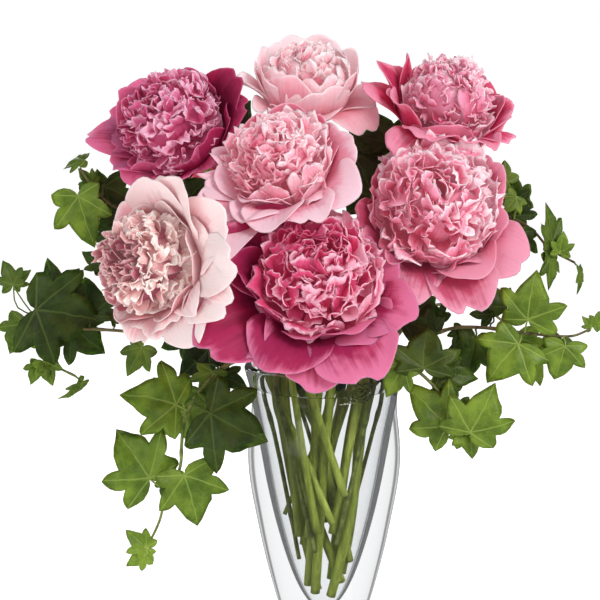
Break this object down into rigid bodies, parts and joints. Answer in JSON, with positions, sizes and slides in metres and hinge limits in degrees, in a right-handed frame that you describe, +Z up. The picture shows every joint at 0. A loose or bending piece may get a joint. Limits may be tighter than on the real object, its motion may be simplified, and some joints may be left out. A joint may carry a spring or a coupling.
{
  "type": "peonies in a vase",
  "caption": "Full pink and magenta peonies with trailing ivy, standing in a tall clear glass vase of water; free-standing decoration.",
  "frame": {"origin": "centre of the vase's flat foot, on the surface it stands on", "axes": "+Z up along the vase's axis, -Y towards the arrangement's front, +X to the viewer's right"},
  "size_m": [0.4738, 0.2972, 0.5138],
  "materials": {
    "clear_glass": "clear polished glass with a faint blue-grey edge",
    "water": "clear water, still surface",
    "peony_stem": "fresh green cut stem, satin",
    "ivy_vine": "thin woody green-brown vine, matte",
    "ivy_leaf": "leathery leaf with a soft gloss and pale veins",
    "magenta_guard_petal": "soft satin petal, fine streaks, paler edge",
    "magenta_inner_petal": "soft ruffled petals, paler notched tips",
    "pale_pink_guard_petal": "soft satin petal, fine streaks, paler edge",
    "pale_pink_inner_petal": "soft ruffled petals, paler notched tips",
    "rose_guard_petal": "soft satin petal, fine streaks, paler edge",
    "rose_inner_petal": "soft ruffled petals, paler notched tips",
    "light_pink_guard_petal": "soft satin petal, fine streaks, paler edge",
    "light_pink_inner_petal": "soft ruffled petals, paler notched tips",
    "blush_guard_petal": "soft satin petal, fine streaks, paler edge",
    "blush_inner_petal": "soft ruffled petals, paler notched tips",
    "pink_guard_petal": "soft satin petal, fine streaks, paler edge",
    "pink_inner_petal": "soft ruffled petals, paler notched tips",
    "hot_pink_guard_petal": "soft satin petal, fine streaks, paler edge",
    "hot_pink_inner_petal": "soft ruffled petals, paler notched tips"
  },
  "bodies": {
    "root": {"glass_vase": "clear_glass", "ivy_1_leaf_1": "ivy_leaf", "ivy_1_leaf_2": "ivy_leaf", "ivy_1_vine": "ivy_vine", "ivy_2_leaf_1": "ivy_leaf", "ivy_2_leaf_2": "ivy_leaf", "ivy_2_leaf_3": "ivy_leaf", "ivy_2_vine": "ivy_vine", "ivy_3_leaf_1": "ivy_leaf", "ivy_3_leaf_2": "ivy_leaf", "ivy_3_leaf_3": "ivy_leaf", "ivy_3_leaf_4": "ivy_leaf", "ivy_3_vine": "ivy_vine", "ivy_4_leaf_1": "ivy_leaf", "ivy_4_leaf_2": "ivy_leaf", "ivy_4_leaf_3": "ivy_leaf", "ivy_4_vine": "ivy_vine", "ivy_5_leaf_1": "ivy_leaf", "ivy_5_leaf_2": "ivy_leaf", "ivy_5_leaf_3": "ivy_leaf", "ivy_5_leaf_4": "ivy_leaf", "ivy_5_vine": "ivy_vine", "ivy_6_leaf_1": "ivy_leaf", "ivy_6_leaf_2": "ivy_leaf", "ivy_6_vine": "ivy_vine", "ivy_7_leaf_1": "ivy_leaf", "ivy_7_vine": "ivy_vine", "ivy_8_leaf_1": "ivy_leaf", "ivy_8_vine": "ivy_vine", "peony_10_guard_petals": "pink_guard_petal", "peony_10_inner_petals": "pink_inner_petal", "peony_10_stem": "peony_stem", "peony_1_guard_petals": "magenta_guard_petal", "peony_1_inner_petals": "magenta_inner_petal", "peony_1_stem": "peony_stem", "peony_2_guard_petals": "pale_pink_guard_petal", "peony_2_inner_petals": "pale_pink_inner_petal", "peony_2_stem": "peony_stem", "peony_3_guard_petals": "rose_guard_petal", "peony_3_inner_petals": "rose_inner_petal", "peony_3_stem": "peony_stem", "peony_4_guard_petals": "light_pink_guard_petal", "peony_4_inner_petals": "light_pink_inner_petal", "peony_4_stem": "peony_stem", "peony_5_guard_petals": "blush_guard_petal", "peony_5_inner_petals": "blush_inner_petal", "peony_5_stem": "peony_stem", "peony_6_guard_petals": "pink_guard_petal", "peony_6_inner_petals": "pink_inner_petal", "peony_6_stem": "peony_stem", "peony_7_guard_petals": "hot_pink_guard_petal", "peony_7_inner_petals": "hot_pink_inner_petal", "peony_7_stem": "peony_stem", "peony_8_guard_petals": "rose_guard_petal", "peony_8_inner_petals": "rose_inner_petal", "peony_8_stem": "peony_stem", "peony_9_guard_petals": "light_pink_guard_petal", "peony_9_inner_petals": "light_pink_inner_petal", "peony_9_stem": "peony_stem", "water": "water"}
  },
  "joints": []
}
